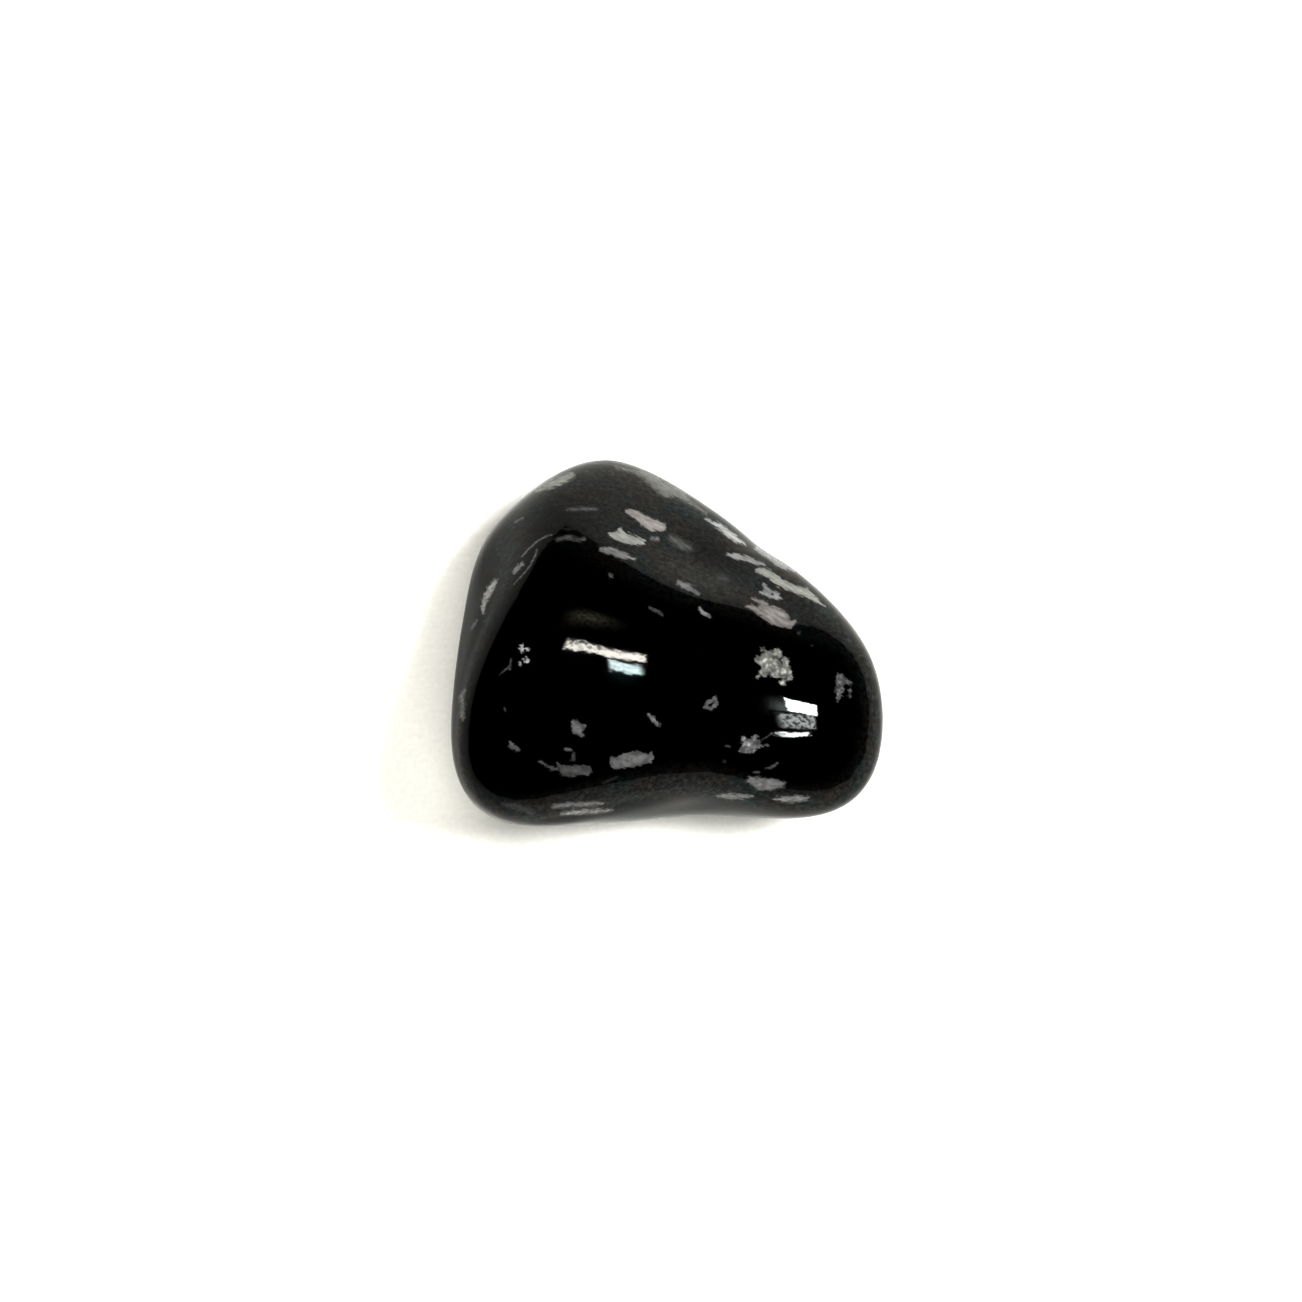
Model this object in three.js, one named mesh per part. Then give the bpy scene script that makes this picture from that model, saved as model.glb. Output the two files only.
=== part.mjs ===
// Tumbled snowflake obsidian: one pebble of black volcanic glass, worn round and polished.
// Millimetres, +Z up. The origin is under the middle of the pebble, on the surface it rests on.

import * as THREE from 'three';
import { mergeVertices } from 'three/addons/utils/BufferGeometryUtils.js';

// The pebble is a broken block whose edges have worn away. Each face of that block has a bearing
// (degrees anticlockwise from +X, seen from above), a lean (degrees that its outward side points
// above level, or below it when negative) and a distance from the pebble's heart (mm).
const BLOCK_FACES = [
  { face: 'top, left', bearing: 230, lean: 84, distance: 9.9 },
  { face: 'top, right', bearing: -36, lean: 66, distance: 9.0 },
  { face: 'back slope', bearing: 63, lean: 50, distance: 6.75 },
  { face: 'back left shoulder', bearing: 146, lean: 38, distance: 12.0 },
  { face: 'back left', bearing: 132, lean: -8, distance: 15.3 },
  { face: 'left', bearing: 183, lean: 4, distance: 14.55 },
  { face: 'front left corner', bearing: -133, lean: -6, distance: 17.3 },
  { face: 'front', bearing: -91, lean: 8, distance: 11.75 },
  { face: 'front right corner', bearing: -39, lean: 10, distance: 17.6 },
  { face: 'right', bearing: -10, lean: 3, distance: 16.2 },
  { face: 'right back', bearing: 22, lean: 4, distance: 13.4 },
  { face: 'back right', bearing: 46, lean: -14, distance: 10.4 },
  { face: 'back', bearing: 86, lean: -14, distance: 19.2 },
  { face: 'under right', bearing: -14, lean: -46, distance: 11.8 },
  { face: 'under back', bearing: 66, lean: -50, distance: 12.4 },
  { face: 'under left', bearing: 180, lean: -46, distance: 11.8 },
  { face: 'under front', bearing: -90, lean: -46, distance: 10.2 },
  { face: 'underside', bearing: 70, lean: -87.3, distance: 6.62 },
];

// How far the block's edges have worn: 2 would leave an egg, and 20 a block with crisp edges.
const EDGE_CRISPNESS = 7;

// Volcanic glass breaks in shallow shell-shaped hollows, and polishing only softens them. Each
// has a bearing and a lean like a face, its depth at the middle (mm) and its half width (degrees
// as seen from the pebble's heart). A negative depth is a swelling, where a corner wore less.
const HOLLOWS = [
  { hollow: 'front waist', bearing: -78, lean: 6, depth: 1.0, halfWidth: 16 },
  { hollow: 'back slope', bearing: 60, lean: 38, depth: 0.45, halfWidth: 24 },
  { hollow: 'back waist', bearing: 52, lean: 0, depth: 0.25, halfWidth: 8 },
  { hollow: 'right slope', bearing: 5, lean: 24, depth: 0.42, halfWidth: 13 },
  { hollow: 'full front left shoulder', bearing: -128, lean: 32, depth: -1.4, halfWidth: 20 },
  { hollow: 'full front left corner', bearing: -130, lean: 18, depth: -1.6, halfWidth: 10 },
  { hollow: 'full front right corner', bearing: -35, lean: 6, depth: -0.75, halfWidth: 13 },
  { hollow: 'full back left corner', bearing: 144, lean: -4, depth: -0.9, halfWidth: 14 },
];

const HEART_HEIGHT = 6.3; // from the surface it rests on to the heart that distances start from
const FLAT_SPOT_EDGE = 0.3; // how softly the small resting flat blends into the round underside
const SURFACE_STEPS = 18; // how often each edge of the starting icosahedron is divided
const MERGE_DISTANCE = 1e-5; // on the unit sphere, for joining the corners that triangles share

const POLISHED_GLASS = new THREE.MeshStandardMaterial({
  name: 'polished obsidian',
  color: '#0b0b0d',
  roughness: 0.06,
  metalness: 0,
});

// The unit vector with this bearing and lean, both in degrees.
function direction({ bearing, lean }) {
  const turn = THREE.MathUtils.degToRad(bearing);
  const rise = THREE.MathUtils.degToRad(lean);
  const level = Math.cos(rise);
  return new THREE.Vector3(level * Math.cos(turn), level * Math.sin(turn), Math.sin(rise));
}

const faces = BLOCK_FACES.map((face) => ({ outward: direction(face), distance: face.distance }));

const hollows = HOLLOWS.map((hollow) => ({
  middle: direction(hollow),
  depth: hollow.depth,
  narrowness: 1 / THREE.MathUtils.degToRad(hollow.halfWidth) ** 2,
}));

// How far the worn block reaches from its heart along the unit vector `way`. The sum over the
// faces is a rounded stand-in for "the nearest face stops it".
function blockReach(way) {
  let sum = 0;
  for (const { outward, distance } of faces) {
    sum += (Math.max(way.dot(outward), 0) / distance) ** EDGE_CRISPNESS;
  }
  return sum ** (-1 / EDGE_CRISPNESS);
}

// How much the hollows take away along `way`.
function hollowDepth(way) {
  let depth = 0;
  for (const { middle, depth: full, narrowness } of hollows) {
    depth += full * Math.exp(narrowness * (way.dot(middle) - 1));
  }
  return depth;
}

// The smaller of two lengths, with a soft change from one to the other. Where they differ by more
// than `softness` it is exactly the smaller one, so the flat spot is truly flat.
function softMinimum(a, b, softness) {
  const share = THREE.MathUtils.clamp(0.5 + (0.5 * (a - b)) / softness, 0, 1);
  return THREE.MathUtils.lerp(a, b, share) - softness * share * (1 - share);
}

// The pebble's reach along `way`, stopped below by the surface that it rests on.
function pebbleReach(way) {
  const worn = blockReach(way) - hollowDepth(way);
  if (way.z >= 0) return worn;
  return softMinimum(HEART_HEIGHT / -way.z, worn, FLAT_SPOT_EDGE);
}

// A sphere of even triangles, each corner moved out to the pebble's reach.
function pebbleGeometry() {
  const sphere = new THREE.IcosahedronGeometry(1, SURFACE_STEPS);
  sphere.deleteAttribute('normal');
  sphere.deleteAttribute('uv');
  const geometry = mergeVertices(sphere, MERGE_DISTANCE);

  const corners = geometry.getAttribute('position');
  const corner = new THREE.Vector3();
  for (let i = 0; i < corners.count; i += 1) {
    corner.fromBufferAttribute(corners, i).normalize();
    corner.multiplyScalar(pebbleReach(corner));
    corners.setXYZ(i, corner.x, corner.y, corner.z);
  }
  return geometry;
}

// Moves the geometry so that the middle of its underside is the origin.
function standOnOrigin(geometry) {
  geometry.computeBoundingBox();
  const { min, max } = geometry.boundingBox;
  geometry.translate(-(min.x + max.x) / 2, -(min.y + max.y) / 2, -min.z);
  geometry.computeVertexNormals();
  return geometry;
}

const pebble = new THREE.Mesh(standOnOrigin(pebbleGeometry()), POLISHED_GLASS);
pebble.name = 'snowflake_obsidian';

const part = new THREE.Group();
part.add(pebble);

export default part;
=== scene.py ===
"""Tumbled snowflake obsidian: one pebble of polished volcanic glass, lying on pale paper."""

import logging
import math
from dataclasses import dataclass, field
from enum import Enum
from typing import Any

import bmesh
import bpy
import numpy as np
from mathutils import Matrix, Vector
from mathutils.bvhtree import BVHTree


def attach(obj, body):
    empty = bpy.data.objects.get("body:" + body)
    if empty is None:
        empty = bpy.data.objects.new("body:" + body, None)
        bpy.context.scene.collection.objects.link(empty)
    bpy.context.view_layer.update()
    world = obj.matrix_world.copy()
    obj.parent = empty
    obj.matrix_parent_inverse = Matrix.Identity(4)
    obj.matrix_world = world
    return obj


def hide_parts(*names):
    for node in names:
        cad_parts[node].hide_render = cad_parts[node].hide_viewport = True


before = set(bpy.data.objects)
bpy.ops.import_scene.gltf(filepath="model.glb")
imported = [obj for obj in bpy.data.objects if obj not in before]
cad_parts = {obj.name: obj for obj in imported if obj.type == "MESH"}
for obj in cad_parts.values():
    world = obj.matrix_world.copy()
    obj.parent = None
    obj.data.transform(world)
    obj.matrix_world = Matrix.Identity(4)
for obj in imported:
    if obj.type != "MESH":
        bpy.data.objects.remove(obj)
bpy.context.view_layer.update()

log = logging.getLogger("pebble")

MM = 0.001  # metres
TINY = 1e-9  # stands in for the length of a single dab, which has none
Dab = tuple[float, float, float]  # across, down (photograph pixels) and half width (pixels)
Stroke = tuple[Dab, ...]


def linear(colour: str) -> tuple[float, float, float, float]:
    """Turns an sRGB hex colour into the linear colour that Blender works in.

    Args:
        colour: the colour as "#rrggbb".

    Returns:
        Red, green, blue and an alpha of 1.
    """
    channels = [int(colour[i : i + 2], 16) / 255 for i in (1, 3, 5)]
    return (*(c / 12.92 if c <= 0.04045 else ((c + 0.055) / 1.055) ** 2.4 for c in channels), 1.0)


def grey(tone: float) -> float:
    """Linear brightness of a grey whose sRGB value, 0 to 255, is tone."""
    level = round(tone)
    return linear(f"#{level:02x}{level:02x}{level:02x}")[0]


def add_node(
    tree: bpy.types.NodeTree,
    kind: str,
    settings: dict[str, Any] | None = None,
    inputs: dict[str | int, Any] | None = None,
) -> bpy.types.Node:
    """Adds a node with its settings and links.

    Args:
        tree: the node tree that gets the node.
        kind: Blender's name for the type of node.
        settings: the node's own properties, by name.
        inputs: a value or another node's output for each input socket, by name or place.

    Returns:
        The new node.
    """
    node = tree.nodes.new(kind)
    for name, value in (settings or {}).items():
        setattr(node, name, value)
    for socket, value in (inputs or {}).items():
        if isinstance(value, bpy.types.NodeSocket):
            tree.links.new(value, node.inputs[socket])
        else:
            node.inputs[socket].default_value = value
    return node


@dataclass(frozen=True)
class Photograph:
    """Where the photograph was taken from, and which pixel shows which point of the scene."""

    side: int = 1302  # pixels
    lens: float = 68.0  # mm, on a sensor 36 mm wide
    sensor: float = 36.0  # mm
    distance: float = 160.0  # mm, from the lens to the mark
    elevation: float = 72.0  # degrees above the paper
    mark: tuple[float, float, float] = (0.08, -0.255, 7.0)  # mm, a point inside the pebble
    mark_pixel: tuple[float, float] = (670.0, 640.0)  # where the photograph shows the mark
    exposure: float = 0.8  # stops
    gamma: float = 0.50  # below 1 for the strong contrast that the photograph has
    clip_start: float = 0.01  # metres, nearer than anything in the scene

    @property
    def focal(self) -> float:
        """Focal length in pixels."""
        return self.lens / self.sensor * self.side

    @property
    def pixel_size(self) -> float:
        """Size of one pixel at the mark, in millimetres."""
        return self.distance / self.focal

    @property
    def axes(self) -> np.ndarray:
        """The picture's right and up directions and the way that the lens looks, as rows."""
        rise = math.radians(self.elevation)
        return np.array(
            [
                (1, 0, 0),
                (0, math.sin(rise), math.cos(rise)),
                (0, math.cos(rise), -math.sin(rise)),
            ]
        )

    @property
    def place(self) -> np.ndarray:
        """Where the lens is, in millimetres."""
        right, up, forward = self.axes
        across = (self.mark_pixel[0] - self.side / 2) * self.pixel_size
        down = (self.mark_pixel[1] - self.side / 2) * self.pixel_size
        return np.array(self.mark) - right * across + up * down - forward * self.distance

    def ray(self, across: float, down: float) -> Vector:
        """Direction from the lens through a pixel.

        Args:
            across: pixels from the photograph's left edge.
            down: pixels from its top edge.

        Returns:
            A unit vector.
        """
        right, up, forward = self.axes
        way = (
            forward
            + right * (across - self.side / 2) / self.focal
            - up * (down - self.side / 2) / self.focal
        )
        return Vector(way).normalized()

    def pixels(self, points: np.ndarray) -> np.ndarray:
        """Pixels at which the photograph shows some points.

        Args:
            points: places in millimetres, one a row.

        Returns:
            Pixels across and down, one point a row.
        """
        right, up, forward = self.axes
        seen = points - self.place
        depth = seen @ forward
        return np.column_stack(
            (
                self.side / 2 + self.focal * (seen @ right) / depth,
                self.side / 2 - self.focal * (seen @ up) / depth,
            )
        )

    def build(self) -> None:
        """Makes the scene's camera at the photograph's viewing angle."""
        data = bpy.data.cameras.new("photograph")
        data.lens = self.lens
        data.sensor_width = self.sensor
        data.clip_start = self.clip_start
        camera = bpy.data.objects.new("photograph", data)
        bpy.context.scene.collection.objects.link(camera)
        camera.location = Vector(self.place) * MM
        camera.rotation_euler = Vector(self.axes[2]).to_track_quat("-Z", "Y").to_euler()
        bpy.context.scene.camera = camera

    def develop(self) -> None:
        """Gives the picture the photograph's exposure and contrast."""
        view = bpy.context.scene.view_settings
        view.view_transform = "Standard"
        view.exposure = self.exposure
        view.gamma = self.gamma

    def brightness(self, tone: float) -> float:
        """Brightness in the scene of what the photograph shows as a grey.

        Args:
            tone: the grey's sRGB value, 0 to 255.

        Returns:
            The linear brightness before exposure and contrast.
        """
        return grey(255 * (tone / 255) ** self.gamma) / 2**self.exposure


class Tint(Enum):
    """Cast of a snowflake's grey."""

    MOSSY = -1.0
    PLAIN = 0.0
    ROSY = 1.0


class Growth(Enum):
    """How the crystals of a snowflake grew."""

    FELTED = 0.0  # fine needles, an even grey
    TUFTED = 1.0  # round tufts with dark glass between them


@dataclass(frozen=True)
class Flake:
    """One crystal snowflake that the photograph shows, laid down as strokes of a round brush."""

    tone: int  # how light it looks, 0 to 255
    strokes: tuple[Stroke, ...]
    tint: Tint = Tint.PLAIN
    haze: float = 0.07  # mm over which its outline fades, wider where it lies under the glass
    holes: tuple[Stroke, ...] = ()
    growth: Growth = Growth.FELTED


BACK_RIM = (
    Flake(
        122,
        (
            (
                (615.6, 467, 1.2), (634, 471, 2.2), (646, 475, 4.5), (657, 483, 7),
                (668, 490, 7.5), (680, 494, 5), (690, 502, 2), (706, 513, 1.2),
            ),
        ),
        Tint.MOSSY,
        0.16,
    ),
    Flake(
        217, (((706, 519, 1), (719, 526, 3), (730, 535, 4), (740, 541, 2.5), (746, 545, 1)),)
    ),
    Flake(180, (((727.5, 554, 1), (736, 556, 3.5), (747.5, 559, 3), (757.5, 562.5, 2)),)),
    Flake(179, (((757, 549, 2), (768, 556, 3), (779, 564, 3), (795, 571, 1)),)),
    Flake(
        184,
        (
            (
                (757.5, 570, 3), (769, 574, 4.7), (780, 582.5, 4.4), (791, 587.5, 4),
                (804, 592, 5), (815, 599, 2.5), (824, 606, 1),
            ),
            ((754, 562, 2), (763, 564, 2)),
        ),
        Tint.MOSSY,
    ),
    Flake(
        163,
        (
            ((760, 592, 1.5), (767.5, 592.5, 4.4), (776, 596, 4.4), (781, 599, 1.5)),
            ((764, 585, 1.5), (767.5, 590, 3)),
        ),
        holes=(((772.5, 594.4, 1),),),
    ),
    Flake(
        147,
        (
            ((746, 605.6, 1), (759, 610, 4.4), (771, 614, 9), (781, 619, 8.5), (790, 625, 3.5)),
            ((790, 625, 3.5), (795, 621, 1.5)),
            ((752.5, 598, 1.2), (765, 605, 4)),
        ),
        Tint.ROSY,
    ),
    Flake(175, (((536, 491, 1.5), (547, 486, 3.5), (562, 480, 4.5),
      (572, 475, 3)),), Tint.MOSSY, 0.12),
    Flake(66, (((596, 462, 1), (610, 461, 1.5), (626, 462.5, 1.2)),), Tint.PLAIN, 0.1),
)

BACK_SLOPE = (
    Flake(
        175,
        (((628, 512, 3), (637.5, 515, 4), (645, 521, 6), (652.5, 525, 6), (662.5, 527, 4.5)),),
        Tint.ROSY,
    ),
    Flake(
        185,
        (
            ((610, 535, 2), (620, 536, 6), (631, 540, 5), (642.5, 542, 3)),
            ((620, 530, 2.5), (621, 535, 4)),
        ),
        Tint.MOSSY,
    ),
    Flake(
        151, (((601, 549, 2), (612.5, 551, 4.5), (622.5, 555.5, 4), (635, 559, 1)),), haze=0.1
    ),
    Flake(122, (((652, 538, 2), (658, 539, 2)),), Tint.ROSY, 0.1),
    Flake(100, (((671, 537.5, 2.5), (680, 544, 4.5), (690, 548, 3)),), Tint.MOSSY, 0.25),
    Flake(52, (((720, 578, 4), (727, 579, 4)),), Tint.MOSSY, 0.25),
    Flake(131, (((679, 583, 2.5), (687.5, 587.5, 3.5), (699, 594, 1.5)),)),
    Flake(101, (((610.6, 575.6, 2.7),),)),
    Flake(81, (((650, 608, 1.5), (657, 611, 2), (662, 615, 2)),)),
    Flake(165, (((699.5, 607, 1.5), (703, 613, 2.5), (710, 617, 1.5)),)),
    Flake(95, (((567.5, 509.5, 1.3), (582, 509, 2), (596, 509, 1.2)),), haze=0.12),
    Flake(90, (((557.5, 539.5, 2.2), (569, 537, 2.8), (576, 540, 2),
      (583.5, 539.5, 2)),), haze=0.12),
)

LEFT_SHOULDER = (
    Flake(119, (((515, 522, 1), (522.5, 518, 1.2)),), haze=0.08),
    # Painted glint: a thin bright arc of light on a pit's rim, laid down as a grey snowflake
    # streak.
    Flake(
        139,
        (((552, 535, 0.7), (546, 536, 0.9), (537.5, 541, 0.9), (527.5, 550, 0.9),
          (522, 556.5, 0.9)),),
    ),
    Flake(170, (((522, 564, 2.2), (517, 569, 2.6), (514, 573, 1.6)),)),
    # Painted glint: the second thin bright arc of light on a pit's rim, laid down as a snowflake
    # streak.
    Flake(
        140,
        (((537, 549.5, 0.8), (535, 556, 0.9), (530, 566, 0.9), (522.5, 575, 0.8),
          (514, 584, 0.5)),),
    ),
    Flake(
        255,
        (((496, 581, 2), (491, 587.5, 3.4), (486, 597.5, 3.4), (482.5, 607.5, 2.5),
          (483, 613, 0.8)),),
        haze=0.08,
    ),
    Flake(141, (((477, 620, 0.8), (474, 625, 1.5), (471, 630, 0.8)),), haze=0.08),
    Flake(
        144,
        (((465, 690, 0.8), (461.5, 697, 3), (462.5, 707, 2), (462.3, 716, 2.4), (463, 720, 1)),),
        haze=0.1,
    ),
)

TOP = (
    Flake(
        174,
        (
            ((768, 658, 8), (774, 667, 9)),
            ((763, 649.4, 3),),
            ((777.5, 654, 5.6),),
            ((785, 661, 4.4),),
            ((759, 660, 4.7), (770, 661, 7.5)),
            ((774, 670, 7.5), (785, 671, 7)),
            ((765, 671, 5.6),),
            ((782.5, 682.5, 3.7),),
            ((789, 677.5, 3.7),),
            ((758, 676, 2.2),),
        ),
        Tint.MOSSY,
        growth=Growth.TUFTED,
    ),
    Flake(51, (((799.4, 632.5, 2),), ((812, 645.6, 1),))),
    Flake(
        117,
        (
            ((840, 677.5, 4.5), (840, 690, 4), (838, 701, 1.5)),
            ((845, 680, 3), (851, 683, 1.7)),
            ((850, 691, 1.7), (850, 696.5, 1.5)),
        ),
        growth=Growth.TUFTED,
    ),
    Flake(
        231,
        (((521.5, 646, 1.5), (522, 651, 2.5), (527, 650, 2.2)), ((525.6, 660, 3.6),)),
        holes=(((525, 650.6, 0.9),), ((525.6, 660, 1),)),
    ),
    Flake(210, (((520, 664, 2.4),),)),
    Flake(
        99,
        (((511, 659, 0.9), (510, 666, 1.2), (504, 671, 1.1), (499, 675, 0.6)), ((510, 669, 1.2),)),
    ),
    Flake(
        106,
        (
            (
                (712, 700, 2), (714.5, 697.5, 2), (716.5, 704, 2.2), (711.5, 708.5, 2.4),
                (705, 706.5, 1.7), (708.5, 702.5, 2.2), (712, 700, 2),
            ),
        ),
        holes=(((711, 705, 0.8),),),
    ),
    Flake(123, (((648.5, 715, 1.7), (654, 720, 2.6), (658.5, 724.5, 2.3)),)),
    Flake(87, (((504.4, 708, 1.2), (505.5, 711, 1)),)),
    Flake(114, (((510.7, 742, 1.5), (511.5, 746.5, 3), (517, 750, 2.5)),)),
    Flake(
        111,
        (((574, 723, 3.5), (577, 728.5, 6.5), (585, 726.4, 2)), ((577, 728.5, 6),
          (581.4, 736, 1.7))),
    ),
    Flake(98, (((566, 749, 1.8), (570.5, 749.5, 2)),)),
    Flake(64, (((573.5, 753, 1.2), (573, 759, 2.5)),)),
)

FRONT_SLOPE = (
    Flake(
        141,
        (
            ((743, 739, 3),),
            ((755, 737, 3.5),),
            ((757, 744, 5), (749, 746.5, 7.5), (742, 751, 3)),
            ((757, 745, 3), (768, 745, 1)),
        ),
        growth=Growth.TUFTED,
    ),
    Flake(64, (((772, 733.5, 0.8), (762, 740, 0.8)),)),
    Flake(
        88,
        (
            ((564, 770.7, 5.4), (575.7, 770.7, 5.7), (587, 770.7, 5)),
            ((557, 763, 1), (561, 768, 3)),
            ((539, 760.7, 1), (548.6, 766.4, 1.7), (557, 769, 2.2)),
        ),
    ),
    Flake(
        109,
        (
            ((611.5, 758, 1.5), (615.7, 763, 5.7), (627, 760, 7.8), (638.6, 758.6, 7.8),
              (648.6, 758.6, 5)),
            ((648.6, 758.6, 3), (651.5, 752, 1.5)),
        ),
    ),
    Flake(85, (((726, 746, 1.2), (730, 746.5, 1)),)),
    Flake(42, (((724.3, 761.4, 1.6),),)),
    Flake(88, (((765, 768.5, 0.7), (772.5, 767, 1.6), (777, 763.5, 1.3)),)),
    Flake(122, (((753.5, 772, 1), (759, 772, 1.2)),)),
)

FRONT_RIM = (
    Flake(
        130,
        (((750, 780, 4), (760, 784, 6.5), (770, 784.5, 6.5), (780, 784, 4.5), (784, 784, 2.5)),),
        haze=0.1,
    ),
    Flake(149, (((718, 796, 1.2), (728, 796, 3), (742, 796.5, 3), (753, 796.5, 1)),), haze=0.1),
    Flake(164, (((775, 799, 1.5), (786, 799.5, 3.2), (798, 799, 3.2),
      (809, 797.5, 1.5)),), haze=0.1),
    Flake(128, (((553, 806.5, 2), (570, 804.5, 2.5), (590, 804, 2.5),
      (603, 803, 1.2)),), haze=0.13),
    Flake(186, (((561, 814, 1), (575, 812.5, 2.4), (595, 811.5, 2.4), (612, 810, 1)),), haze=0.13),
    Flake(57, (((503, 804, 2), (520, 808, 4), (533, 813, 3)),), haze=0.15),
    Flake(48, (((603, 783, 1), (617, 777, 1)),), haze=0.1),
)


def brush_gap(points: np.ndarray, strokes: tuple[Stroke, ...] | list) -> np.ndarray:
    """How far points are outside brush strokes, negative inside them.

    Args:
        points: places, one a row, in two or three coordinates.
        strokes: each a run of dabs, which are a place in as many coordinates and a half width.

    Returns:
        One distance for each point, in the unit that the coordinates have.
    """
    gap = np.full(len(points), np.inf)
    for stroke in strokes:
        dabs = [(np.array(dab[:-1]), dab[-1]) for dab in stroke]
        for (start, first), (end, last) in zip(dabs[:-1] or dabs, dabs[1:] or dabs):
            run = end - start
            share = np.clip((points - start) @ run / max(float(run @ run), TINY), 0, 1)
            off = np.linalg.norm(points - start - share[:, None] * run, axis=1)
            gap = np.minimum(gap, off - first - share * (last - first))
    return gap


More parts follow.
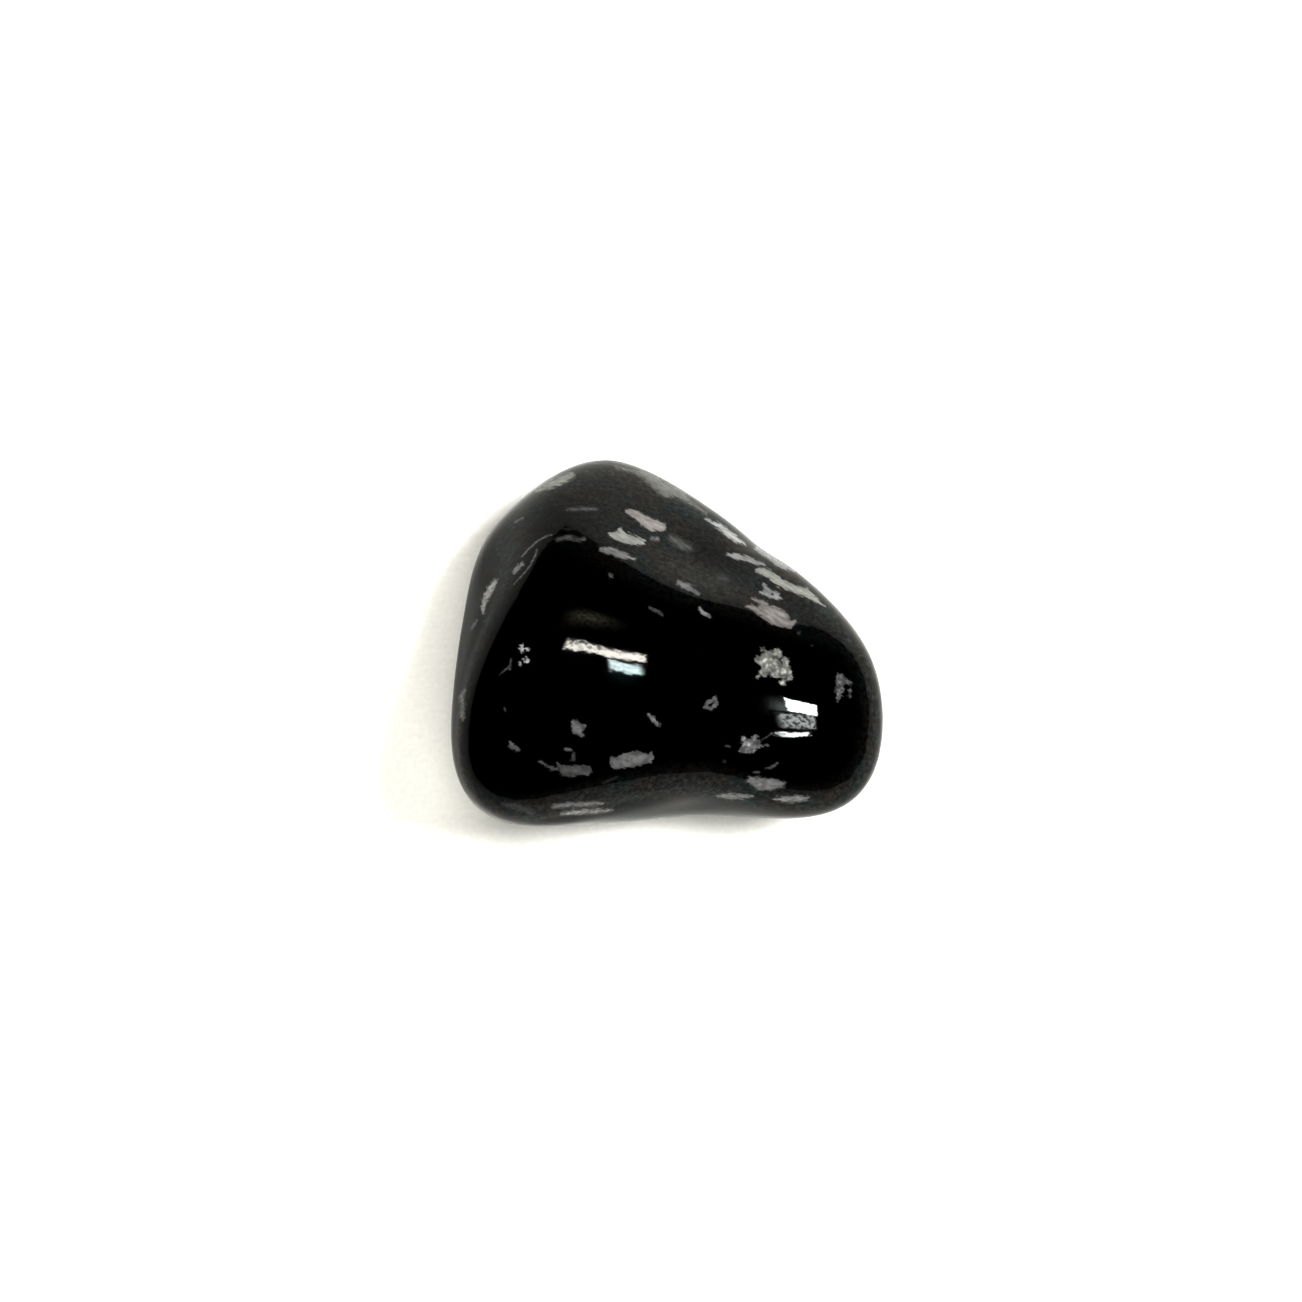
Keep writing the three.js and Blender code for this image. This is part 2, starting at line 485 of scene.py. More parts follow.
@dataclass(frozen=True)
class PolishedObsidian:
    """Volcanic glass, black right through, tumbled with finer and finer grit to a wet polish.

    The glass mirrors what is round it and is otherwise black, but for a mottled grey on the flanks
    that is partly crystal dust and partly painted reflection of the paper. The snowflakes are
    cristobalite, a grey crystal that grew in the glass as tufts of needles and takes the polish
    less well.
    """

    name: str = "polished_obsidian"
    green_dust_and_reflection: str = "#404b49"  # crystal dust in the glass, too fine to see one by one, with painted reflection of the paper
    plain_dust_and_reflection: str = "#464643"
    brown_dust_and_reflection: str = "#4c4841"
    mossy: str = "#cfd0cb"
    plain: str = "#d0d0d0"
    rosy: str = "#d2cecc"
    ior: float = 1.37
    glass_roughness: float = 0.04
    crystal_roughness: float = 0.3
    needle_length: float = 0.22  # mm, of the needles that make a snowflake's edge ragged
    needle_spread: float = 0.6  # mm, how far they push the edge in and out
    felt_size: float = 0.3  # mm, of the lighter and darker patches in a felted snowflake
    tuft_size: float = 0.24  # mm, of one tuft
    flow: float = -28.0  # degrees about the vertical that the lava flowed, which drew flakes out
    flow_stretch: float = 2.2  # how much longer than wide the patches are
    cloud_size: float = 2.2  # mm, of the places where the dust and painted reflection are faintly green or brown
    speck_size: float = 0.34  # mm, of the mottle in the dust and painted reflection, coarser than real dust so that it shows
    ripple_size: float = 1.1  # mm, of the faint waviness that tumbling leaves
    ripple_height: float = 0.003  # mm
    felt_contrast: tuple[float, float] = (0.25, 1.75)  # dark and light, as shares of the tone
    tuft_contrast: tuple[float, float] = (1.35, 0.6)  # the same at a tuft's middle and edge
    tuft_edge: float = 0.7  # tufts, from one's middle to its edge
    tuft_bend: float = 0.7  # tufts, how far they are bent out of round
    crowd_size: float = 0.6  # mm, of the places where tufts are thin or crowded
    crowd_contrast: tuple[float, float] = (0.2, 1.8)  # thin and crowded, as shares of the tone
    edge_band: tuple[float, float] = (-0.35, 0.1)  # mm from an outline, where crystal thins out
    edge_contrast: tuple[float, float] = (1.2, 0.8)  # light and dark over that band
    cloud_levels: tuple[float, float] = (0.38, 0.62)  # of the noise, where the dust and painted reflection are green, brown
    speck_levels: tuple[float, float] = (0.3, 0.7)  # of the noise, from no speck to a full one

    def make(self) -> bpy.types.Material:
        """Builds the material from the pebble's own attributes and Object coordinates.

        Returns:
            The material.
        """
        material = bpy.data.materials.new(self.name)
        material.use_nodes = True
        tree = material.node_tree
        tree.nodes.clear()
        place = add_node(tree, "ShaderNodeTexCoord").outputs["Object"]
        place = add_node(
            tree, "ShaderNodeVectorMath", {"operation": "SCALE"}, {0: place, "Scale": 1 / MM}
        ).outputs[0]
        flow = add_node(
            tree,
            "ShaderNodeMapping",
            {"vector_type": "TEXTURE"},
            {
                "Vector": place,
                "Rotation": (0, 0, math.radians(self.flow)),
                "Scale": (self.flow_stretch, 1, 1),
            },
        ).outputs[0]
        cover = self.cover(tree, flow)
        colour = add_node(
            tree,
            "ShaderNodeMix",
            {"data_type": "RGBA"},
            {
                0: cover,
                6: self.glass_colour(tree, place),
                7: self.crystal_colour(tree, place, flow),
            },
        ).outputs[2]
        roughness = add_node(
            tree, "ShaderNodeMix", {},
            {0: cover, 2: self.glass_roughness, 3: self.crystal_roughness},
        ).outputs[0]
        ripple = add_node(
            tree, "ShaderNodeTexNoise", {},
            {"Vector": place, "Scale": 1 / self.ripple_size, "Detail": 2.0, "Roughness": 0.6},
        ).outputs[0]
        bump = add_node(
            tree, "ShaderNodeBump", {},
            {"Strength": 1.0, "Distance": self.ripple_height * MM, "Height": ripple},
        ).outputs[0]
        shader = add_node(
            tree, "ShaderNodeBsdfPrincipled", {},
            {"Base Color": colour, "Roughness": roughness, "IOR": self.ior, "Normal": bump},
        )
        add_node(tree, "ShaderNodeOutputMaterial", {}, {0: shader.outputs[0]})
        return material

    def cover(
        self, tree: bpy.types.NodeTree, flow: bpy.types.NodeSocket
    ) -> bpy.types.NodeSocket:
        """Where crystal covers the glass: inside each snowflake's outline, made ragged by needles.

        Args:
            tree: the material's nodes.
            flow: coordinates in millimetres, drawn out along the flow.

        Returns:
            1 on crystal and 0 on glass.
        """
        needles = add_node(
            tree, "ShaderNodeTexNoise", {},
            {"Vector": flow, "Scale": 1 / self.needle_length, "Detail": 3.0, "Roughness": 0.6},
        ).outputs[0]
        gap, haze, size = (
            add_node(tree, "ShaderNodeAttribute", {"attribute_name": name}).outputs["Fac"]
            for name in ("flake_gap", "flake_haze", "flake_size")
        )
        push = add_node(
            tree, "ShaderNodeMath", {"operation": "SUBTRACT"}, {0: needles, 1: 0.5}
        ).outputs[0]
        push = add_node(
            tree, "ShaderNodeMath", {"operation": "MULTIPLY"}, {0: push, 1: size}
        ).outputs[0]
        ragged = add_node(
            tree,
            "ShaderNodeMath",
            {"operation": "MULTIPLY_ADD"},
            {0: push, 1: self.needle_spread, 2: gap},
        ).outputs[0]
        inner = add_node(
            tree, "ShaderNodeMath", {"operation": "MULTIPLY"}, {0: haze, 1: -1.0}
        ).outputs[0]
        return add_node(
            tree,
            "ShaderNodeMapRange",
            {"interpolation_type": "SMOOTHSTEP"},
            {"Value": ragged, "From Min": haze, "From Max": inner},
        ).outputs[0]

    def crystal_colour(
        self,
        tree: bpy.types.NodeTree,
        place: bpy.types.NodeSocket,
        flow: bpy.types.NodeSocket,
    ) -> bpy.types.NodeSocket:
        """Greys of the snowflakes: each one's own tone and cast, in felt or in tufts.

        Args:
            tree: the material's nodes.
            place: coordinates in millimetres.
            flow: the same, drawn out along the flow.

        Returns:
            The colour.
        """
        felt = add_node(
            tree, "ShaderNodeTexNoise", {},
            {"Vector": flow, "Scale": 1 / self.felt_size, "Detail": 3.0, "Roughness": 0.65},
        ).outputs[0]
        dark, pale = self.felt_contrast
        felted = add_node(
            tree, "ShaderNodeMapRange", {}, {"Value": felt, "To Min": dark, "To Max": pale}
        ).outputs[0]
        bent = add_node(
            tree, "ShaderNodeTexNoise", {},
            {"Vector": place, "Scale": 2 / self.tuft_size, "Detail": 2.0},
        ).outputs["Color"]
        bent = add_node(
            tree,
            "ShaderNodeVectorMath",
            {"operation": "MULTIPLY_ADD"},
            {0: bent, 1: (self.tuft_size * self.tuft_bend,) * 3, 2: place},
        ).outputs[0]
        tufts = add_node(
            tree,
            "ShaderNodeTexVoronoi",
            {"feature": "SMOOTH_F1"},
            {"Vector": bent, "Scale": 1 / self.tuft_size, "Smoothness": 0.5},
        ).outputs["Distance"]
        middle, edge = self.tuft_contrast
        tufted = add_node(
            tree, "ShaderNodeMapRange", {},
            {"Value": tufts, "From Max": self.tuft_edge, "To Min": middle, "To Max": edge},
        ).outputs[0]
        crowd = add_node(
            tree, "ShaderNodeTexNoise", {},
            {"Vector": place, "Scale": 1 / self.crowd_size, "Detail": 1.0},
        ).outputs[0]
        thin, crowded = self.crowd_contrast
        crowd = add_node(
            tree, "ShaderNodeMapRange", {}, {"Value": crowd, "To Min": thin, "To Max": crowded}
        ).outputs[0]
        tufted = add_node(
            tree, "ShaderNodeMath", {"operation": "MULTIPLY"}, {0: tufted, 1: crowd}
        ).outputs[0]
        growth, light, gap, warmth = (
            add_node(tree, "ShaderNodeAttribute", {"attribute_name": name}).outputs["Fac"]
            for name in ("flake_growth", "flake_light", "flake_gap", "flake_warmth")
        )
        mottle = add_node(tree, "ShaderNodeMix", {}, {0: growth, 2: felted, 3: tufted}).outputs[0]
        light = add_node(
            tree, "ShaderNodeMath", {"operation": "MULTIPLY"}, {0: light, 1: mottle}
        ).outputs[0]
        depth = add_node(
            tree, "ShaderNodeMapRange", {},
            {
                "Value": gap,
                "From Min": self.edge_band[0],
                "From Max": self.edge_band[1],
                "To Min": self.edge_contrast[0],
                "To Max": self.edge_contrast[1],
            },
        ).outputs[0]
        light = add_node(
            tree, "ShaderNodeMath", {"operation": "MULTIPLY"}, {0: light, 1: depth}
        ).outputs[0]
        warmth = add_node(
            tree,
            "ShaderNodeMath",
            {"operation": "MULTIPLY_ADD"},
            {0: warmth, 1: 0.5, 2: 0.5},
        ).outputs[0]
        cast = add_node(tree, "ShaderNodeValToRGB", {}, {0: warmth})
        cast.color_ramp.elements[0].color = linear(self.mossy)
        cast.color_ramp.elements[1].color = linear(self.rosy)
        cast.color_ramp.elements.new(0.5).color = linear(self.plain)
        return add_node(
            tree,
            "ShaderNodeVectorMath",
            {"operation": "SCALE"},
            {0: cast.outputs[0], "Scale": light},
        ).outputs[0]

    def glass_colour(
        self, tree: bpy.types.NodeTree, place: bpy.types.NodeSocket
    ) -> bpy.types.NodeSocket:
        """Black of the glass, with a mottled grey where the mesh says so: crystal dust, and
        painted reflection of the paper on the flanks.

        Args:
            tree: the material's nodes.
            place: coordinates in millimetres.

        Returns:
            The colour.
        """
        clouds = add_node(
            tree, "ShaderNodeTexNoise", {},
            {"Vector": place, "Scale": 1 / self.cloud_size, "Detail": 2.0, "Roughness": 0.55},
        ).outputs[0]
        shades = add_node(tree, "ShaderNodeValToRGB", {}, {0: clouds})
        ramp = shades.color_ramp
        green, brown = self.cloud_levels
        ramp.elements[0].position, ramp.elements[0].color = green, linear(self.green_dust_and_reflection)
        ramp.elements[1].position, ramp.elements[1].color = brown, linear(self.brown_dust_and_reflection)
        ramp.elements.new(0.5).color = linear(self.plain_dust_and_reflection)
        specks = add_node(
            tree, "ShaderNodeTexNoise", {},
            {"Vector": place, "Scale": 1 / self.speck_size, "Detail": 3.0, "Roughness": 0.7},
        ).outputs[0]
        bare, full = self.speck_levels
        specks = add_node(
            tree, "ShaderNodeMapRange", {}, {"Value": specks, "From Min": bare, "From Max": full}
        ).outputs[0]
        # The flanks, which mirror the paper, get a mottled grey: partly crystal dust, partly
        # painted reflection.
        dust_and_painted_reflection = add_node(tree, "ShaderNodeAttribute", {"attribute_name": "dust_and_painted_reflection"}).outputs["Fac"]
        dust_and_painted_reflection = add_node(
            tree, "ShaderNodeMath", {"operation": "MULTIPLY"}, {0: dust_and_painted_reflection, 1: specks}
        ).outputs[0]
        return add_node(
            tree,
            "ShaderNodeVectorMath",
            {"operation": "SCALE"},
            {0: shades.outputs[0], "Scale": dust_and_painted_reflection},
        ).outputs[0]


@dataclass(frozen=True)
class Mark:
    """Where one snowflake lies on the pebble's surface."""

    flake: Flake
    gap: np.ndarray  # mm that each point of the surface is outside it, negative inside it
    half_width: float  # mm, where it is widest


@dataclass(frozen=True)
class HiddenFlakes:
    """What the made-up snowflakes on the unseen sides are like. Pairs are least and most."""

    count: int = 110
    seed: int = 11
    facing: float = -0.12  # cosine of outward to the lens, below which a place is unseen
    bearing: float = -14.0  # degrees about the vertical that they lie along, more or less
    bearing_spread: float = 18.0  # degrees
    longest: float = 2.6  # mm
    lengths: tuple[float, float] = (0.3, 1.0)  # shares of the longest, raised to the power below
    shortening: float = 1.5  # makes short ones more common
    widths: tuple[float, float] = (0.12, 0.3)  # half widths, as shares of the length
    strokes: tuple[int, int] = (1, 4)  # the second is one more than the most
    apart: float = 0.8  # how far strokes lie apart, in half widths
    ahead: float = 0.15  # how far they lie ahead of each other, in lengths
    drift: float = 0.25  # how crooked they are, in half widths
    dabs: int = 4  # in each stroke
    dab_widths: tuple[float, float] = (0.35, 1.0)  # shares of the half width
    tints: tuple[float, ...] = (0.3, 0.5, 0.2)  # chances of mossy, plain and rosy
    tones: tuple[float, float] = (90.0, 190.0)
    hazes: tuple[float, ...] = (0.04, 0.08, 0.15)  # mm


@dataclass
class Pebble:
    """The pebble: the CAD solid with a finer surface, and the snowflakes on it."""

    photograph: Photograph
    finish: PolishedObsidian = field(default_factory=PolishedObsidian)
    node: str = "snowflake_obsidian"
    merge_distance: float = 1e-6  # metres, for joining the corners that triangles share
    divisions: int = 2  # how often each triangle is cut in four
    fine_bands: tuple[float, ...] = (0.17, 0.08)  # mm, where it is cut again near an outline
    light_on_pebble: float = 0.92  # brightness of a white surface under the studio's light
    wrap_depth: float = 0.8  # mm that a snowflake may reach past its outline's edge of sight
    full_needles: float = 0.22  # mm, half the width from which a snowflake is fully ragged
    clear_way: tuple[float, float, float] = (-0.1, -0.14, 0.98)  # the way that the top faces: glass facing it stays black, the flanks get dust and painted reflection
    dust_and_reflection_edge: tuple[float, float] = (0.6, 0.79)  # cosines from that way: full dust and painted reflection, and clear black
    hidden: HiddenFlakes = field(default_factory=HiddenFlakes)
    smoothing: float = 0.5  # how far a division moves each point to its neighbours' middle
    wrap_widths: float = 3.0  # half widths that a snowflake may reach beyond the wrap depth
    inward_steps: int = 40  # tries on the way in from a dab just outside the outline
    least_needles: float = 0.2  # how ragged the thinnest snowflake still is
    far: float = 1.0  # mm, past which the distance to a snowflake makes no difference

    def build(self) -> bpy.types.Object:
        """Makes the pebble's surface, marks its snowflakes and dresses it.

        Returns:
            The pebble.
        """
        mesh = self.surface()
        self.mark(mesh)
        pebble = bpy.data.objects.new("pebble", mesh)
        bpy.context.scene.collection.objects.link(pebble)
        mesh.materials.clear()
        mesh.materials.append(self.finish.make())
        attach(pebble, "root")
        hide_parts(self.node)
        return pebble

    def surface(self) -> bpy.types.Mesh:
        """Divides the CAD solid's triangles and rounds the result.

        Returns:
            A closed, smooth mesh in the same place as the solid.
        """
        shape = bmesh.new()
        shape.from_mesh(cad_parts[self.node].data)
        bmesh.ops.remove_doubles(shape, verts=shape.verts, dist=self.merge_distance)
        for _ in range(self.divisions):
            bmesh.ops.subdivide_edges(shape, edges=shape.edges, cuts=1, use_grid_fill=True)
            bmesh.ops.smooth_vert(
                shape,
                verts=shape.verts,
                factor=self.smoothing,
                use_axis_x=True,
                use_axis_y=True,
                use_axis_z=True,
            )
        for reach in self.fine_bands:
            self.refine(shape, reach)
        for face in shape.faces:
            face.smooth = True
        mesh = bpy.data.meshes.new("pebble")
        shape.to_mesh(mesh)
        shape.free()
        # The solid's own normals don't fit the finer surface.
        for layer in [a.name for a in mesh.attributes if a.name == "custom_normal"]:
            mesh.attributes.remove(mesh.attributes[layer])
        return mesh

    def refine(self, shape: bmesh.types.BMesh, reach: float) -> None:
        """Halves the edges next to the outlines of the snowflakes that the photograph shows.

        Args:
            shape: the surface, in metres.
            reach: how far from an outline the edges are halved, in millimetres.
        """
        points = np.array([vert.co for vert in shape.verts]) / MM
        tree = BVHTree.FromPolygons(
            [tuple(p) for p in points], [[v.index for v in f.verts] for f in shape.faces]
        )
        gaps = np.array([mark.gap for mark in self.seen_marks(points, tree)])
        near = (np.abs(gaps) < reach).any(0)
        edges = [e for e in shape.edges if near[e.verts[0].index] and near[e.verts[1].index]]
        bmesh.ops.subdivide_edges(shape, edges=edges, cuts=1, use_grid_fill=True)
        bmesh.ops.triangulate(shape, faces=[f for f in shape.faces if len(f.verts) > 3])
        shape.verts.index_update()

    def mark(self, mesh: bpy.types.Mesh) -> None:
        """Writes the snowflakes, and the dust and painted reflection, on the mesh as attributes
        that the finish reads.

        Args:
            mesh: the pebble's surface, in metres.
        """
        count = len(mesh.vertices)
        points = np.empty(count * 3, np.float32)
        normals = np.empty(count * 3, np.float32)
        mesh.vertices.foreach_get("co", points)
        mesh.vertices.foreach_get("normal", normals)
        points = points.reshape(-1, 3).astype(float) / MM
        normals = normals.reshape(-1, 3).astype(float)
        tree = BVHTree.FromPolygons(
            [tuple(p) for p in points], [tuple(p.vertices) for p in mesh.polygons]
        )
        marks = self.seen_marks(points, tree) + self.hidden_marks(points, normals, tree)
        gaps = np.stack([mark.gap for mark in marks])
        nearest = gaps.argmin(0)
        flakes = [mark.flake for mark in marks]
        albedo = [self.photograph.brightness(f.tone) / self.light_on_pebble for f in flakes]
        sizes = np.array([mark.half_width for mark in marks]) / self.full_needles
        # Dust and painted reflection: full on the flanks that mirror the paper, none on the black
        # top.
        dust_and_painted_reflection = np.interp(normals @ Vector(self.clear_way).normalized(), self.dust_and_reflection_edge, (1.0, 0.0))
        facts = {
            "flake_gap": np.clip(gaps.min(0), -self.far, self.far),
            "flake_light": np.array(albedo)[nearest],
            "flake_warmth": np.array([flake.tint.value for flake in flakes])[nearest],
            "flake_haze": np.array([flake.haze for flake in flakes])[nearest],
            "flake_growth": np.array([flake.growth.value for flake in flakes])[nearest],
            "flake_size": np.clip(sizes, self.least_needles, 1.0)[nearest],
            "dust_and_painted_reflection": dust_and_painted_reflection,
        }
        for name, values in facts.items():
            layer = mesh.attributes.new(name, "FLOAT", "POINT")
            layer.data.foreach_set("value", values.astype(np.float32))

    def seen_marks(self, points: np.ndarray, tree: BVHTree) -> list[Mark]:
        """Places the snowflakes that the photograph shows.

        Args:
            points: the surface's points in millimetres, one a row.
            tree: the surface itself, in millimetres.

        Returns:
            One mark for each snowflake.
        """
        photograph = self.photograph
        place = Vector(photograph.place)
        pixels = photograph.pixels(points)
        marks = []
        for flake in (*BACK_RIM, *BACK_SLOPE, *LEFT_SHOULDER, *TOP, *FRONT_SLOPE, *FRONT_RIM):
            gap = brush_gap(pixels, flake.strokes) * photograph.pixel_size
            if flake.holes:
                gap = np.maximum(gap, -brush_gap(pixels, flake.holes) * photograph.pixel_size)
            trail = []
            for stroke in flake.strokes:
                spots = [self.spot(tree, place, dab) for dab in stroke]
                trail.append([(*spot, 0.0) for spot in spots])
            widest = max(dab[2] for stroke in flake.strokes for dab in stroke)
            widest *= photograph.pixel_size
            reach = self.wrap_depth + self.wrap_widths * widest
            gap = np.maximum(gap, brush_gap(points, trail) - reach)
            marks.append(Mark(flake, gap, widest))
        return marks

    def spot(self, tree: BVHTree, place: Vector, dab: Dab) -> Vector:
        """The pebble's point that a dab of the brush lies on.

        Args:
            tree: the surface in millimetres.
            place: where the lens is, in millimetres.
            dab: the dab, whose pixel may lie just outside the pebble's outline.

        Returns:
            The point that the pixel shows, or the nearest one inside the outline.
        """
        across, down, _ = dab
        middle = self.photograph.mark_pixel
        for step in range(self.inward_steps):
            share = step / self.inward_steps
            pixel = (across + (middle[0] - across) * share, down + (middle[1] - down) * share)
            hit = tree.ray_cast(place, self.photograph.ray(*pixel))[0]
            if hit is not None:
                return hit
        raise ValueError(f"no part of the pebble is near pixel {across}, {down}")

    def hidden_marks(
        self, points: np.ndarray, normals: np.ndarray, tree: BVHTree
    ) -> list[Mark]:
        """Makes up snowflakes on the sides that the photograph doesn't show.

        Args:
            points: the surface's points in millimetres, one a row.
            normals: the surface's outward directions at those points.
            tree: the surface itself, in millimetres.

        Returns:
            One mark for each snowflake.
        """
        made = self.hidden
        chance = np.random.default_rng(made.seed)
        sight = self.photograph.place - points
        sight /= np.linalg.norm(sight, axis=1)[:, None]
        hidden = np.flatnonzero((sight * normals).sum(1) < made.facing)
        marks = []
        for index in chance.choice(hidden, made.count, replace=False):
            out = Vector(normals[index])
            turn = math.radians(chance.normal(made.bearing, made.bearing_spread))
            along = Vector((math.cos(turn), math.sin(turn), 0.0))
            along = (along - out * along.dot(out)).normalized()
            aside = out.cross(along)
            length = chance.uniform(*made.lengths) ** made.shortening * made.longest
            width = length * chance.uniform(*made.widths)
            strokes = []
            for _ in range(chance.integers(*made.strokes)):
                shift = aside * chance.normal(0, width * made.apart)
                shift += along * chance.normal(0, length * made.ahead)
                dabs = []
                for share in np.linspace(-0.5, 0.5, made.dabs):
                    drift = aside * chance.normal(0, width * made.drift)
                    target = Vector(points[index]) + shift + along * share * length + drift
                    spot = tree.find_nearest(target)[0]
                    half = width * chance.uniform(*made.dab_widths) * (1 - abs(share))
                    dabs.append((*spot, half))
                strokes.append(dabs)
            tint = list(Tint)[chance.choice(3, p=made.tints)]
            tone = int(chance.uniform(*made.tones))
            flake = Flake(tone, (), tint, chance.choice(made.hazes))
            marks.append(Mark(flake, brush_gap(points, strokes), width))
        return marks


@dataclass(frozen=True)
class PlainPaper:
    """Uncoated white paper, felted from fibres, which scatters light evenly."""

    name: str = "plain_paper"
    colour: str = "#f5f5f3"
    shade: str = "#ebebe8"
    roughness: float = 0.95
    fibre: float = 0.35  # mm

    def make(self) -> bpy.types.Material:
        """Builds the material with a faint grain.

        Returns:
            The material.
        """
        material = bpy.data.materials.new(self.name)
        material.use_nodes = True
        tree = material.node_tree
        tree.nodes.clear()
        place = add_node(tree, "ShaderNodeTexCoord").outputs["Object"]
        grain = add_node(
            tree, "ShaderNodeTexNoise", {},
            {"Vector": place, "Scale": 1 / (self.fibre * MM), "Detail": 2.0},
        ).outputs[0]
        colour = add_node(
            tree,
            "ShaderNodeMix",
            {"data_type": "RGBA"},
            {0: grain, 6: linear(self.colour), 7: linear(self.shade)},
        ).outputs[2]
        shader = add_node(
            tree, "ShaderNodeBsdfPrincipled", {},
            {"Base Color": colour, "Roughness": self.roughness, "Specular IOR Level": 0.0},
        )
        add_node(tree, "ShaderNodeOutputMaterial", {}, {0: shader.outputs[0]})
        return material


@dataclass(frozen=True)
class Pane:
    """A level shape that only the polish shows: a window pane, or a see-through sheet of painted
    shade that darkens the paper mirrored beside the pebble.
    """

    name: str
    height: float  # mm above the paper
    middle: tuple[float, float]  # mm
    size: tuple[float, float]  # mm, its length and width
    turn: float  # degrees about the vertical
    colour: str = "#ffffff"
    radiance: float = 0.0
    softness: float = 0.06  # how much of each side fades, as a share
    veil: float = 0.0  # how much it darkens what lies behind it, if it has no light itself
    skew: float = 0.0  # how far it leans along its length, for each unit of its width
    flecks: float = 0.0  # how dark the twigs outside make it in places
    flecked: float = 0.5  # how many of those places there are
    fleck_size: tuple[float, float] = (1.0, 1.0)  # mm
    clear_way: tuple[float, float] = (0.0, 0.0)  # towards its end and side with fewer flecks
    ragged: float = 0.0  # how far its sides go in and out, as a share


WINDOW_PANES = (
    Pane(
        "upper_strip",
        412,
        (59.8, 159),
        (290, 21.5),
        -19.2,
        "#fffdf8",
        24,
        skew=-0.5,
        flecks=0.85,
        fleck_size=(44, 9),
        flecked=0.45,
        clear_way=(0.16, -0.22),
        ragged=0.2,
    ),
    Pane(
        "lower_pane",
        412,
        (147, 100.5),
        (132, 25),
        -21,
        "#eefafa",
        27,
        0.35,
        skew=-1.3,
        flecks=0.3,
        fleck_size=(40, 8),
        ragged=0.06,
    ),
    Pane("left_glow", 422, (152, 94), (185, 70), -21, "#7fa5a5", 3.2, 1.0, skew=-1.0),
    Pane(
        "wall_glow",
        432,
        (8, 303),
        (330, 150),
        -8,
        "#7a776a",
        21,
        1.0,
        flecks=0.6,
        fleck_size=(30, 30),
    ),
    Pane("right_upper_pane", 24, (19.0, -7.8), (5.0, 2.2), 4, "#f8fcfc", 29, ragged=0.25),
    Pane(
        "right_grey_pane",
        24.4,
        (18.75, -10.6),
        (6.1, 3.3),
        11,
        "#dfe3e1",
        20,
        0.3,
        flecks=0.85,
        flecked=0.49,
        fleck_size=(1.0, 1.2),
        ragged=0.25,
    ),
    Pane("right_lower_pane", 24, (17.9, -13.2), (5.0, 1.4), 17, "#f8fcfc", 27, 0.4, ragged=0.8),
    Pane("right_glow", 26, (18.0, -9.0), (4.4, 4.6), 0, "#aab1ae", 15.0, 1.0),
)


# Painted shade: see-through sheets that only the polish shows, darkening the paper mirrored in the
# left and front rims.
SHADES = (
    Pane("left_shade", 1.0, (-19.5, 5), (19, 36), 12, softness=0.8, veil=0.5),
    Pane("front_shade", 1.0, (-3.0, -16.0), (18, 11), 0, softness=0.8, veil=0.45),
)


@dataclass(frozen=True)
class Lamp:
    """A large round soft light."""

    name: str
    way: tuple[float, float, float]  # from the pebble towards the light
    strength: float  # brightness that it alone gives white paper
    colour: str
    distance: float = 1.2  # metres
    across: float = 0.8  # metres


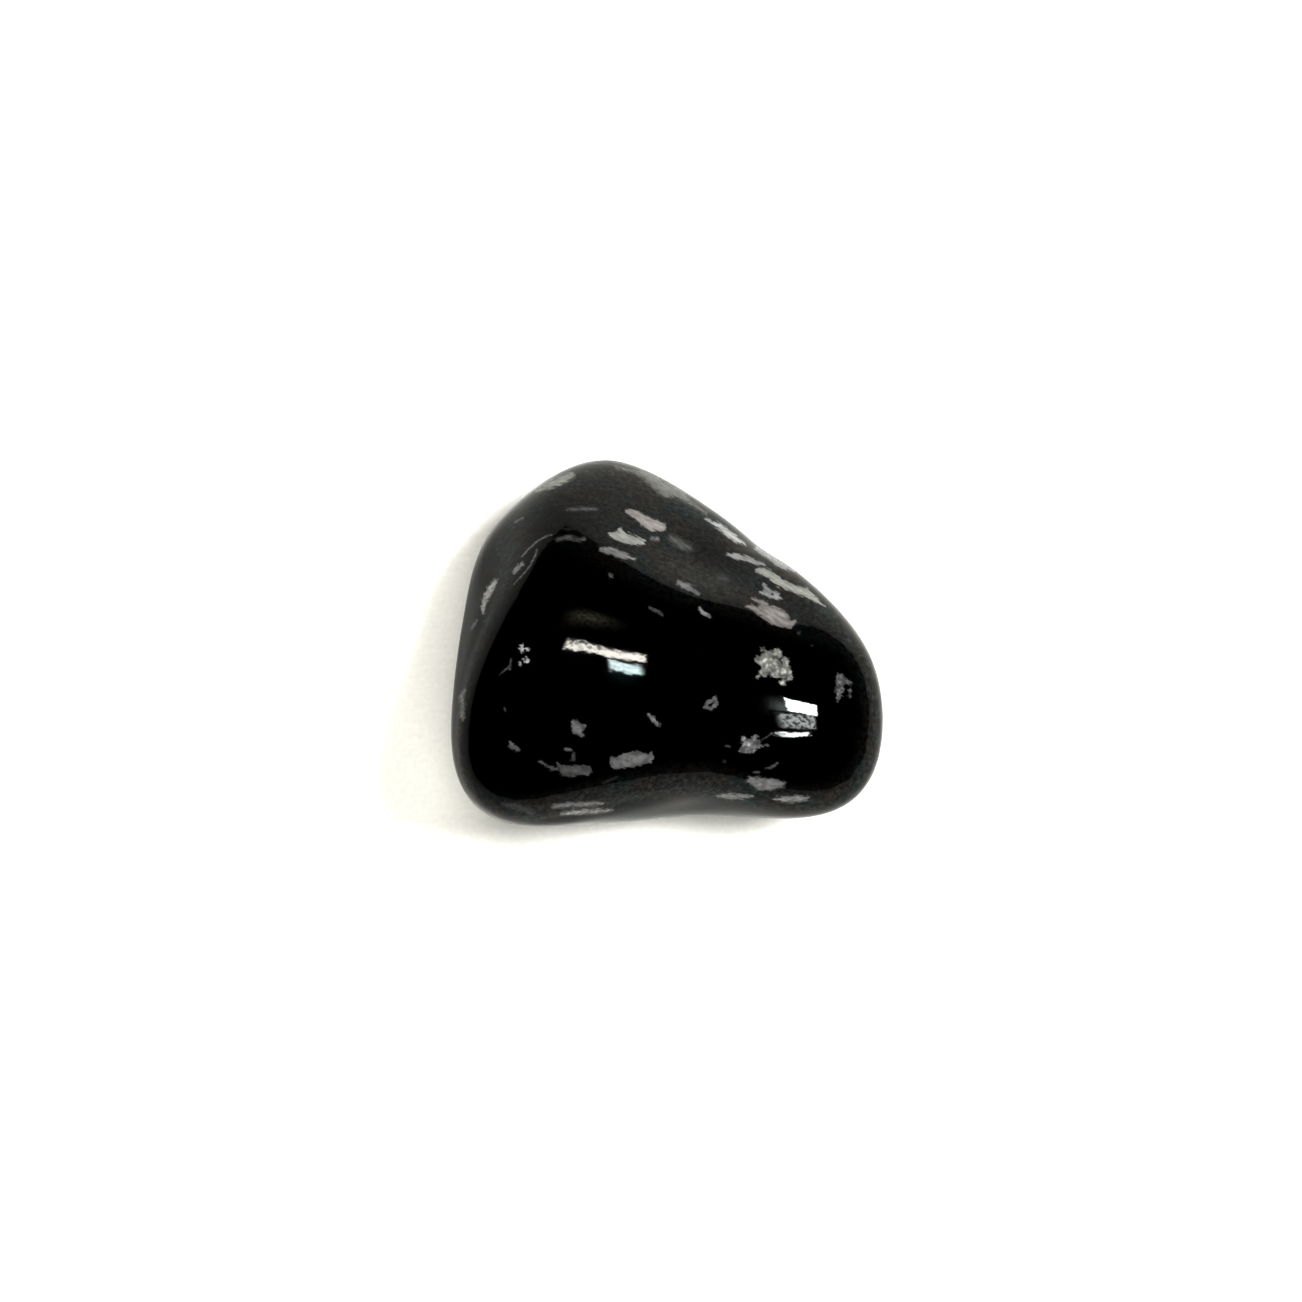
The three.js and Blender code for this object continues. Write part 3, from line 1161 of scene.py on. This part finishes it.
@dataclass
class Studio:
    """The paper, the soft light on it, the window that the polish mirrors, and the painted shade
    on the paper that it mirrors.
    """

    paper: PlainPaper = field(default_factory=PlainPaper)
    paper_side: float = 1.3  # metres
    room_colour: str = "#fffcf7"
    room_strength: float = 0.08  # of the faint light from all round
    wall_strength: float = 0.9  # of the wall, which only the camera sees
    twig_scale: float = 1.6  # noise cells to one fleck
    fleck_edge: tuple[float, float] = (-0.08, 0.04)  # noise levels over which a fleck fades
    lamps: tuple[Lamp, ...] = (
        Lamp("key", (0.55, -0.05, 0.83), 0.54, "#fcfdff", across=0.45),
        Lamp("fill", (0.0, -0.5, 0.86), 0.4, "#fffefb"),
        Lamp("back", (-0.1, 0.5, 0.86), 0.26, "#fffefb"),
    )

    def build(self) -> list[bpy.types.Object]:
        """Makes the floor and the lights.

        Returns:
            The stage objects.
        """
        self.light_room()
        for lamp in self.lamps:
            self.light(lamp)
        return [self.lay_paper(), *(self.hang(pane) for pane in (*WINDOW_PANES, *SHADES))]

    def lay_paper(self) -> bpy.types.Object:
        """Makes the paper under the pebble.

        Returns:
            The paper.
        """
        sheet = bmesh.new()
        bmesh.ops.create_grid(sheet, x_segments=1, y_segments=1, size=self.paper_side / 2)
        mesh = bpy.data.meshes.new("paper")
        sheet.to_mesh(mesh)
        sheet.free()
        paper = bpy.data.objects.new("paper", mesh)
        bpy.context.scene.collection.objects.link(paper)
        mesh.materials.append(self.paper.make())
        return paper

    def light_room(self) -> None:
        """Lights everything faintly from all round, in front of a pale wall.

        The polish doesn't mirror the wall, so that it shows the dark room of the photograph.
        """
        world = bpy.data.worlds.new("room")
        bpy.context.scene.world = world
        world.use_nodes = True
        tree = world.node_tree
        tree.nodes.clear()
        seen = add_node(tree, "ShaderNodeLightPath").outputs["Is Camera Ray"]
        strength = add_node(
            tree, "ShaderNodeMix", {}, {0: seen, 2: self.room_strength, 3: self.wall_strength}
        ).outputs[0]
        background = add_node(
            tree, "ShaderNodeBackground", {},
            {"Color": linear(self.room_colour), "Strength": strength},
        )
        add_node(tree, "ShaderNodeOutputWorld", {}, {0: background.outputs[0]})
        world.cycles_visibility.glossy = False

    def light(self, lamp: Lamp) -> None:
        """Hangs one large soft light.

        Args:
            lamp: where it hangs and how bright it is.
        """
        data = bpy.data.lights.new(lamp.name, "AREA")
        data.shape = "DISK"
        data.size = lamp.across
        data.color = linear(lamp.colour)[:3]
        way = Vector(lamp.way).normalized()
        data.energy = lamp.strength * (math.pi * lamp.distance) ** 2 / way.z
        lit = bpy.data.objects.new(lamp.name, data)
        bpy.context.scene.collection.objects.link(lit)
        lit.location = way * lamp.distance
        lit.rotation_euler = (-way).to_track_quat("-Z", "Y").to_euler()
        lit.visible_glossy = False
        lit.visible_camera = False

    def hang(self, pane: Pane) -> bpy.types.Object:
        """Makes one shape, bright or shading, that only the polish shows.

        Args:
            pane: where it is and how it looks.

        Returns:
            Its object.
        """
        card = bmesh.new()
        card.loops.layers.uv.new("UVMap")
        bmesh.ops.create_grid(card, x_segments=1, y_segments=1, size=0.5, calc_uvs=True)
        size = Matrix.Diagonal((pane.size[0] * MM, pane.size[1] * MM, 1, 1))
        lean = Matrix.Identity(4)
        lean[0][1] = pane.skew
        turn = Matrix.Rotation(math.radians(pane.turn), 4, "Z")
        place = Matrix.Translation(Vector((*pane.middle, pane.height)) * MM)
        bmesh.ops.transform(card, matrix=place @ turn @ lean @ size, verts=card.verts)
        mesh = bpy.data.meshes.new(pane.name)
        card.to_mesh(mesh)
        card.free()
        shown = bpy.data.objects.new(pane.name, mesh)
        bpy.context.scene.collection.objects.link(shown)
        mesh.materials.append(self.glow(pane))
        for kind in ("camera", "diffuse", "transmission", "volume_scatter", "shadow"):
            setattr(shown, f"visible_{kind}", False)
        return shown

    def glow(self, pane: Pane) -> bpy.types.Material:
        """Light or shade of one pane, which fades towards its sides.

        Args:
            pane: its colour, its radiance or veil, and its softness.

        Returns:
            The material.
        """
        material = bpy.data.materials.new(f"{pane.name}_light")
        material.use_nodes = True
        tree = material.node_tree
        tree.nodes.clear()
        place = add_node(
            tree,
            "ShaderNodeVectorMath",
            {"operation": "SUBTRACT"},
            {0: add_node(tree, "ShaderNodeTexCoord").outputs["UV"], 1: (0.5, 0.5, 0)},
        ).outputs[0]
        sides = add_node(tree, "ShaderNodeSeparateXYZ", {}, {0: place})
        flecks = add_node(
            tree, "ShaderNodeMapping", {},
            {
                "Vector": place,
                "Scale": (pane.size[0] / pane.fleck_size[0], pane.size[1] / pane.fleck_size[1], 1),
            },
        ).outputs[0]
        twigs = add_node(
            tree, "ShaderNodeTexNoise", {},
            {"Vector": flecks, "Scale": self.twig_scale, "Detail": 3.0, "Roughness": 0.65},
        ).outputs[0]
        fade: bpy.types.NodeSocket | float = pane.radiance or -pane.veil
        for side in (0, 1):
            away = add_node(
                tree, "ShaderNodeMath", {"operation": "ABSOLUTE"}, {0: sides.outputs[side]}
            ).outputs[0]
            away = add_node(
                tree,
                "ShaderNodeMath",
                {"operation": "MULTIPLY_ADD"},
                {0: twigs, 1: pane.ragged, 2: away},
            ).outputs[0]
            end = 0.5 + pane.ragged / 2
            share = add_node(
                tree,
                "ShaderNodeMapRange",
                {"interpolation_type": "SMOOTHSTEP"},
                {"Value": away, "From Min": end, "From Max": end - pane.softness / 2},
            ).outputs[0]
            fade = add_node(
                tree, "ShaderNodeMath", {"operation": "MULTIPLY"}, {0: fade, 1: share}
            ).outputs[0]
        if pane.flecks:
            clearing = add_node(
                tree,
                "ShaderNodeVectorMath",
                {"operation": "DOT_PRODUCT"},
                {0: place, 1: (*pane.clear_way, 0)},
            ).outputs["Value"]
            lighter = add_node(
                tree,
                "ShaderNodeMath",
                {"operation": "ADD"},
                {0: clearing, 1: twigs},
            ).outputs[0]
            shown = add_node(
                tree, "ShaderNodeMapRange", {},
                {
                    "Value": lighter,
                    "From Min": pane.flecked + self.fleck_edge[0],
                    "From Max": pane.flecked + self.fleck_edge[1],
                    "To Min": 1 - pane.flecks,
                },
            ).outputs[0]
            fade = add_node(
                tree, "ShaderNodeMath", {"operation": "MULTIPLY"}, {0: fade, 1: shown}
            ).outputs[0]
        if pane.radiance:
            light = add_node(
                tree, "ShaderNodeEmission", {}, {"Color": linear(pane.colour), "Strength": fade}
            )
        else:
            kept = add_node(
                tree, "ShaderNodeMath", {"operation": "ADD"}, {0: fade, 1: 1.0}
            ).outputs[0]
            light = add_node(tree, "ShaderNodeBsdfTransparent", {}, {"Color": kept})
        add_node(tree, "ShaderNodeOutputMaterial", {}, {0: light.outputs[0]})
        return material


def main() -> None:
    """Builds the camera, the studio and the pebble."""
    logging.basicConfig(level=logging.INFO, format="%(message)s")
    photograph = Photograph()
    photograph.build()
    photograph.develop()
    for staged in Studio().build():
        log.info("stage: %s", staged.name)
    pebble = Pebble(photograph).build()
    log.info("piece: %s, %d faces", pebble.name, len(pebble.data.polygons))


if __name__ == "__main__":
    main()
